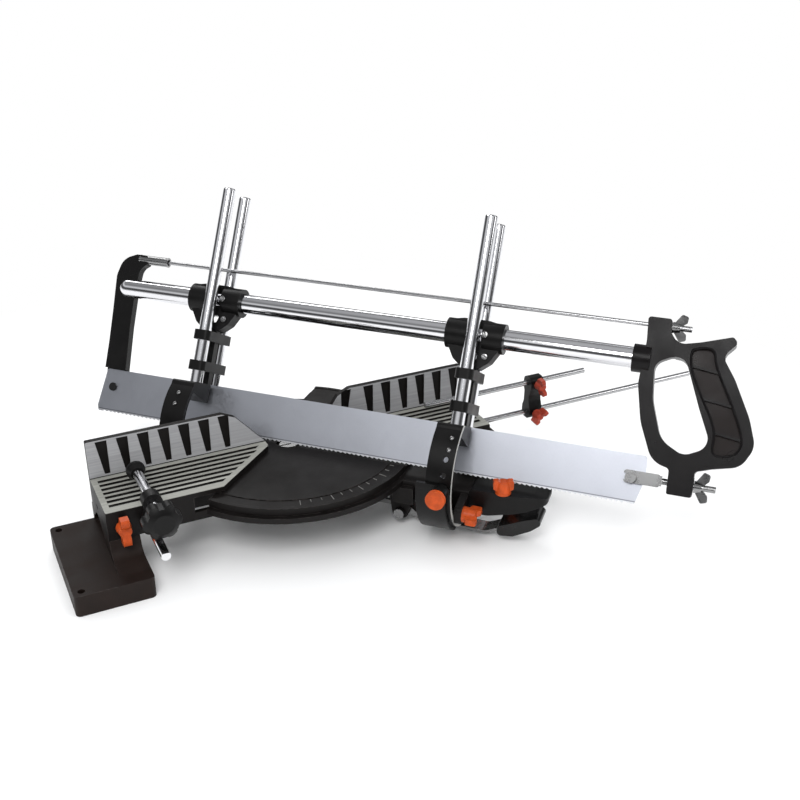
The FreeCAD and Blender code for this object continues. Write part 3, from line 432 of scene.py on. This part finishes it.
def pickFaces(obj, wanted):
    # In edit mode: selects just the faces whose centre and normal fit
    mesh = bmesh.from_edit_mesh(obj.data)
    for face in mesh.faces:
        face.select_set(False)
    for face in mesh.faces:
        if wanted(face.calc_center_median(), face.normal):
            face.select_set(True)
    mesh.select_flush_mode()
    bmesh.update_edit_mesh(obj.data)


def setInPlace(obj, matrix):
    deselect()
    obj.select_set(True)
    bpy.context.view_layer.objects.active = obj
    obj.matrix_world = matrix
    bpy.ops.object.transform_apply(location=True, rotation=True, scale=True)


def gather(name, parts, mat, body):
    deselect()
    for part in parts:
        part.select_set(True)
    bpy.context.view_layer.objects.active = parts[0]
    if len(parts) > 1:
        bpy.ops.object.join()
    whole = parts[0]
    whole.name = name
    whole.data.name = name
    whole.data.materials.clear()
    whole.data.materials.append(mat)
    bpy.ops.object.shade_smooth_by_angle(angle=math.radians(35))
    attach(whole, body)


def facing(frameMatrix, place, axis, roll=0.0):
    # A matrix that stands a piece on a place of a frame, its z along an axis of that frame
    turn = Vector((0, 0, 1)).rotation_difference(Vector(axis)).to_matrix().to_4x4()
    return frameMatrix @ Matrix.Translation(Vector(place)) @ turn @ Matrix.Rotation(math.radians(roll), 4, "Z")


guideScrewSpots = {
    "middles": (-0.1064, 0.1854),  # rear and front posts, along the saw
    "ring": {"along": 0.0118, "seat": 0.0155, "up": 0.1338, "roll": 25},
    "plate": {"along": 0.0135, "seat": 0.0085, "up": 0.1125, "roll": 70},
    "radius": 0.0031, "height": 0.0017, "sides": 28, "slot": 0.14, "slotDepth": 0.45, "rounding": 0.22,
}


def slottedScrew(matrix):
    spots = guideScrewSpots
    radius, height = spots["radius"], spots["height"]
    deselect()
    bpy.ops.mesh.primitive_cylinder_add(
        vertices=spots["sides"], radius=radius, depth=height, location=(0, 0, height / 2))
    head = bpy.context.object
    bpy.ops.object.transform_apply(location=True)
    bpy.ops.object.mode_set(mode="EDIT")
    half = radius * spots["slot"]
    for offset in (half, -half):
        bpy.ops.mesh.select_all(action="SELECT")
        bpy.ops.mesh.bisect(plane_co=(offset, 0, 0), plane_no=(1, 0, 0))
    pickFaces(head, lambda centre, normal: normal.z > 0.9 and abs(centre.x) < half * 0.9)
    depth = height * spots["slotDepth"]
    bpy.ops.mesh.extrude_region_move(TRANSFORM_OT_translate={"value": (0, 0, -depth)})
    bpy.ops.mesh.select_all(action="SELECT")
    bpy.ops.mesh.normals_make_consistent(inside=False)
    bpy.ops.object.mode_set(mode="OBJECT")
    soft = head.modifiers.new("soft", "BEVEL")
    soft.width = height * spots["rounding"]
    soft.segments = 3
    soft.limit_method = "ANGLE"
    soft.angle_limit = math.radians(60)
    bpy.ops.object.modifier_apply(modifier="soft")
    setInPlace(head, matrix)
    return head


def makeGuideScrews():
    heads = []
    for middle in guideScrewSpots["middles"]:
        for side in (-1, 1):
            for spot in (guideScrewSpots["ring"], guideScrewSpots["plate"]):
                place = (middle + spot["along"], side * spot["seat"], spot["up"])
                heads.append(slottedScrew(facing(lean, place, (0, side, 0), spot["roll"])))
    gather("guideScrews", heads, zincPlate, "saw_carriage")


ringRivetSpots = {
    "radius": 0.0600, "front": 0.1909, "rear": -0.1064, "angles": (14, 26), "size": 0.0022, "height": 0.0011,
}


def makeRingRivets():
    # Domed heads on the outer face of both rings
    spots = ringRivetSpots
    heads = []
    for angle in spots["angles"]:
        lift = math.radians(angle)
        for side in (-1, 1):
            out = (0, side * math.cos(lift), math.sin(lift))
            for middle in (spots["front"], spots["rear"]):
                deselect()
                bpy.ops.mesh.primitive_uv_sphere_add(segments=20, ring_count=12, radius=spots["size"])
                head = bpy.context.object
                bpy.ops.object.mode_set(mode="EDIT")
                bpy.ops.mesh.select_all(action="SELECT")
                bpy.ops.mesh.bisect(plane_co=(0, 0, 0), plane_no=(0, 0, 1), clear_inner=True, use_fill=True)
                bpy.ops.mesh.select_all(action="SELECT")
                bpy.ops.transform.resize(value=(1, 1, spots["height"] / spots["size"]))
                bpy.ops.object.mode_set(mode="OBJECT")
                place = (middle, out[1] * spots["radius"], out[2] * spots["radius"])
                setInPlace(head, facing(lean, place, out))
                heads.append(head)
    gather("ringRivets", heads, zincPlate, "saw_tower")


sleeveSpots = {
    "from": -0.2105, "to": -0.1755, "height": 0.1670, "radius": 0.0054,
    "grooves": ((0.06, 0.14), (0.84, 0.92)), "grooveSize": 0.93,  # shares of the length and radius
    "bore": 0.35, "boreDepth": 0.0012,
}


def makeRodSleeve():
    # The crimped sleeve that holds the tension rod in the rear arm
    spots = sleeveSpots
    length = spots["to"] - spots["from"]
    deselect()
    bpy.ops.mesh.primitive_cylinder_add(
        vertices=40, radius=spots["radius"], depth=length, location=(0, 0, length / 2))
    sleeve = bpy.context.object
    bpy.ops.object.transform_apply(location=True)
    bpy.ops.object.mode_set(mode="EDIT")
    for groove in spots["grooves"]:
        for share in groove:
            bpy.ops.mesh.select_all(action="SELECT")
            bpy.ops.mesh.bisect(plane_co=(0, 0, length * share), plane_no=(0, 0, 1))
    for low, high in spots["grooves"]:
        pickFaces(sleeve, lambda centre, normal: abs(normal.z) < 0.1 and low < centre.z / length < high)
        bpy.ops.transform.resize(value=(spots["grooveSize"], spots["grooveSize"], 1))
    pickFaces(sleeve, lambda centre, normal: normal.z > 0.9)
    bpy.ops.mesh.inset(thickness=spots["radius"] * spots["bore"])
    bpy.ops.mesh.extrude_region_move(TRANSFORM_OT_translate={"value": (0, 0, -spots["boreDepth"])})
    bpy.ops.object.mode_set(mode="OBJECT")
    setInPlace(sleeve, facing(lean, (spots["from"], 0, spots["height"]), (1, 0, 0)))
    gather("rodSleeve", [sleeve], zincPlate, "frame_saw")


threadSpots = {
    "shanks": (  # along the saw, up, radius and length
        (0.4265, 0.019, 0.0030, 0.0105),
        (0.3885, 0.019, 0.0030, 0.0045),
        (0.3830, 0.1670, 0.0028, 0.0100),
    ),
    "ridge": 0.00030, "pitch": 0.0009, "steps": 16,
}


def helix(radius, length, matrix):
    # A screw thread's ridge, wound round a shank of the given radius
    spots = threadSpots
    deselect()
    bpy.ops.mesh.primitive_circle_add(
        vertices=3, radius=spots["ridge"], location=(radius, 0, 0), rotation=(math.radians(90), 0, 0))
    thread = bpy.context.object
    bpy.ops.object.transform_apply(location=True, rotation=True)
    wind = thread.modifiers.new("wind", "SCREW")
    wind.axis = "Z"
    wind.angle = math.tau
    wind.screw_offset = spots["pitch"]
    wind.iterations = int(length / spots["pitch"])
    wind.steps = spots["steps"]
    wind.render_steps = spots["steps"]
    bpy.ops.object.modifier_apply(modifier="wind")
    bpy.ops.object.mode_set(mode="EDIT")
    bpy.ops.mesh.select_all(action="SELECT")
    bpy.ops.mesh.remove_doubles(threshold=0.000001)
    bpy.ops.mesh.normals_make_consistent(inside=False)
    bpy.ops.object.mode_set(mode="OBJECT")
    setInPlace(thread, matrix)
    return thread


def makeThreads():
    threads = [helix(radius, length, facing(lean, (along, 0, up), (1, 0, 0)))
               for along, up, radius, length in threadSpots["shanks"]]
    gather("sawThreads", threads, zincPlate, "frame_saw")


scaleSpots = {
    "inner": 0.1195, "long": 0.1275, "short": 0.1240, "level": 0.0652, "height": 0.0004, "width": 0.0007,
    "reach": 60, "step": 5, "longEvery": 15, "chamfer": 0.2, "crown": 0.3,
}


def makeScaleTicks():
    # Degree marks on the turntable's scale ring, with none at 0, where the blade's kerf runs
    spots = scaleSpots
    angles = [angle for angle in range(-spots["reach"], spots["reach"] + 1, spots["step"]) if angle]
    ticks = []
    for angle in angles:
        outer = spots["long"] if angle % spots["longEvery"] == 0 else spots["short"]
        length = outer - spots["inner"]
        deselect()
        bpy.ops.mesh.primitive_cube_add(
            size=1, location=(spots["inner"] + length / 2, 0, spots["level"] + spots["height"] / 2))
        tick = bpy.context.object
        tick.scale = (length, spots["width"], spots["height"])
        bpy.ops.object.transform_apply(location=True, scale=True)
        bpy.ops.object.mode_set(mode="EDIT")
        pickFaces(tick, lambda centre, normal: normal.z > 0.9)
        bpy.ops.mesh.inset(thickness=spots["width"] * spots["chamfer"])
        bpy.ops.transform.translate(value=(0, 0, spots["height"] * spots["crown"]))
        bpy.ops.object.mode_set(mode="OBJECT")
        setInPlace(tick, swing @ Matrix.Rotation(math.radians(angle), 4, "Z"))
        ticks.append(tick)
    gather("scaleTicks", ticks, scalePaint, "turntable")


handleBeadSpots = {
    "corners": (  # the pocket's outline in millimetres, along the saw and up
        (396, 148), (418, 151), (421, 134), (441, 100), (456, 68),
        (451, 53), (428, 49), (430, 74), (412, 104), (399, 128),
    ),
    "half": 0.0129, "radius": 0.0011, "near": 0.22,
}


def makeHandleBead():
    # A rolled rim round the pocket on each side of the grip
    spots = handleBeadSpots
    corners = [Vector((along / 1000, 0, up / 1000)) for along, up in spots["corners"]]
    rims = []
    for side in (-1, 1):
        deselect()
        bpy.ops.curve.primitive_nurbs_path_add()
        rim = bpy.context.object
        rim.data.splines.clear()
        line = rim.data.splines.new("NURBS")
        points = []
        for i, corner in enumerate(corners):
            for other in (corners[i - 1], corners[(i + 1) % len(corners)]):
                points.append(corner.lerp(other, spots["near"]))
        line.points.add(len(points) - 1)
        for point, at in zip(line.points, points):
            point.co = (at.x, side * spots["half"], at.z, 1)
        line.use_cyclic_u = True
        line.order_u = 3
        rim.data.bevel_depth = spots["radius"]
        rim.data.bevel_resolution = 3
        rim.data.resolution_u = 5
        bpy.ops.object.convert(target="MESH")
        rim = bpy.context.object
        setInPlace(rim, lean)
        rims.append(rim)
    gather("handleBead", rims, handlePlastic, "frame_saw")


makeGuideScrews()
makeRingRivets()
makeRodSleeve()
makeThreads()
makeScaleTicks()
makeHandleBead()
print("small pieces made")


# Floor, lights and camera

paper = {"size": 12, "drop": 0.0002, "colour": (0.95, 0.95, 0.95, 1), "fadeFrom": 0.32, "fadeTo": 0.75}


def makeFloor():
    bpy.ops.object.select_all(action="DESELECT")
    bpy.ops.mesh.primitive_plane_add(size=paper["size"], location=(0, 0, -paper["drop"]))
    floor = bpy.context.object
    floor.name = "studioFloor"
    mat, tree, shader = newMaterial("studioPaper")
    shader.inputs["Base Color"].default_value = paper["colour"]
    shader.inputs["Specular IOR Level"].default_value = 0.0
    shader.inputs["Roughness"].default_value = 0.8
    # The paper far from the tool fades to plain white for the camera, so no horizon shows
    spot = tree.nodes.new("ShaderNodeVectorMath")
    spot.operation = "LENGTH"
    tree.links.new(tree.nodes.new("ShaderNodeNewGeometry").outputs["Position"], spot.inputs[0])
    far = rampNode(tree, spot.outputs["Value"], paper["fadeFrom"], paper["fadeTo"])
    glow = tree.nodes.new("ShaderNodeEmission")
    blend = tree.nodes.new("ShaderNodeMixShader")
    seen = tree.nodes.new("ShaderNodeLightPath").outputs["Is Camera Ray"]
    tree.links.new(mathNode(tree, "MULTIPLY", far, seen), blend.inputs[0])
    tree.links.new(shader.outputs[0], blend.inputs[1])
    tree.links.new(glow.outputs[0], blend.inputs[2])
    out = next(node for node in tree.nodes if node.type == "OUTPUT_MATERIAL")
    tree.links.new(blend.outputs[0], out.inputs["Surface"])
    floor.data.materials.append(mat)


sky = {
    "shown": (1, 1, 1, 1), "lit": (0.98, 0.99, 1, 1), "litStrength": 0.92,
    # what metal mirrors, by how far up the ray points
    "bands": ((0.0, 0.55), (0.10, 0.10), (0.34, 0.06), (0.55, 0.75), (0.78, 0.22), (1.0, 0.5)),
}


def makeSky():
    world = bpy.data.worlds.new("studioWorld")
    bpy.context.scene.world = world
    world.use_nodes = True
    tree = world.node_tree
    tree.nodes.clear()
    end = tree.nodes.new("ShaderNodeOutputWorld")
    shown = tree.nodes.new("ShaderNodeBackground")
    shown.inputs["Color"].default_value = sky["shown"]
    lit = tree.nodes.new("ShaderNodeBackground")
    lit.inputs["Color"].default_value = sky["lit"]
    lit.inputs["Strength"].default_value = sky["litStrength"]
    mirror = tree.nodes.new("ShaderNodeBackground")
    up = splitPlace(tree, tree.nodes.new("ShaderNodeTexCoord").outputs["Generated"])["Z"]
    bands = tree.nodes.new("ShaderNodeValToRGB")
    bands.color_ramp.interpolation = "EASE"
    stops = bands.color_ramp.elements
    for i, (spot, shade) in enumerate(sky["bands"]):
        stop = stops[i] if i < 2 else stops.new(spot)
        stop.position = spot
        stop.color = (shade, shade * 1.01, shade * 1.03, 1)
    tree.links.new(up, bands.inputs["Fac"])
    tree.links.new(bands.outputs["Color"], mirror.inputs["Color"])
    path = tree.nodes.new("ShaderNodeLightPath")
    whole = lit
    for ray, other in (("Is Glossy Ray", mirror), ("Is Camera Ray", shown)):
        mix = tree.nodes.new("ShaderNodeMixShader")
        tree.links.new(path.outputs[ray], mix.inputs[0])
        tree.links.new(whole.outputs[0], mix.inputs[1])
        tree.links.new(other.outputs[0], mix.inputs[2])
        whole = mix
    tree.links.new(whole.outputs[0], end.inputs[0])


lamps = {
    "softKey": {"place": (-0.9, -1.3, 1.9), "target": (0.05, 0, 0.1), "size": (0.9, 0.9), "watts": 22},
    "softFill": {"place": (1.7, -1.1, 1.1), "target": (0.05, 0, 0.1), "size": (0.7, 1.0), "watts": 9},
    "backLight": {"place": (0.2, 1.6, 1.5), "target": (0.05, 0, 0.12), "size": (1.4, 0.5), "watts": 12},
}


def makeLamp(name, lamp):
    data = bpy.data.lights.new(name, "AREA")
    data.shape = "RECTANGLE"
    data.size, data.size_y = lamp["size"]
    data.energy = lamp["watts"]
    light = bpy.data.objects.new(name, data)
    bpy.context.scene.collection.objects.link(light)
    light.location = lamp["place"]
    aim = Vector(lamp["target"]) - Vector(lamp["place"])
    light.rotation_euler = aim.to_track_quat("-Z", "Y").to_euler()


camera = {
    "azimuth": -25.62, "elevation": 26.51, "target": (0.09287, -0.01873, 0.13561), "distance": 1.1097,
    "lens": 49.23, "sensor": 36, "shiftX": 0.0052, "shiftY": -0.0088, "nearest": 0.01,
}


def makeCamera():
    az = math.radians(camera["azimuth"])
    el = math.radians(camera["elevation"])
    back = Vector((math.sin(az) * math.cos(el), -math.cos(az) * math.cos(el), math.sin(el)))
    data = bpy.data.cameras.new("photoCamera")
    data.lens = camera["lens"]
    data.sensor_width = camera["sensor"]
    data.sensor_fit = "HORIZONTAL"
    data.shift_x = camera["shiftX"]
    data.shift_y = camera["shiftY"]
    data.clip_start = camera["nearest"]
    obj = bpy.data.objects.new("photoCamera", data)
    bpy.context.scene.collection.objects.link(obj)
    right = Vector((math.cos(az), math.sin(az), 0))
    turn = Matrix((right, back.cross(right), back)).transposed().to_4x4()
    obj.matrix_world = Matrix.Translation(Vector(camera["target"]) + back * camera["distance"]) @ turn
    bpy.context.scene.camera = obj


makeFloor()
makeSky()
for name, lamp in lamps.items():
    makeLamp(name, lamp)
makeCamera()
bpy.context.scene.view_settings.view_transform = "Standard"
print("studio set")
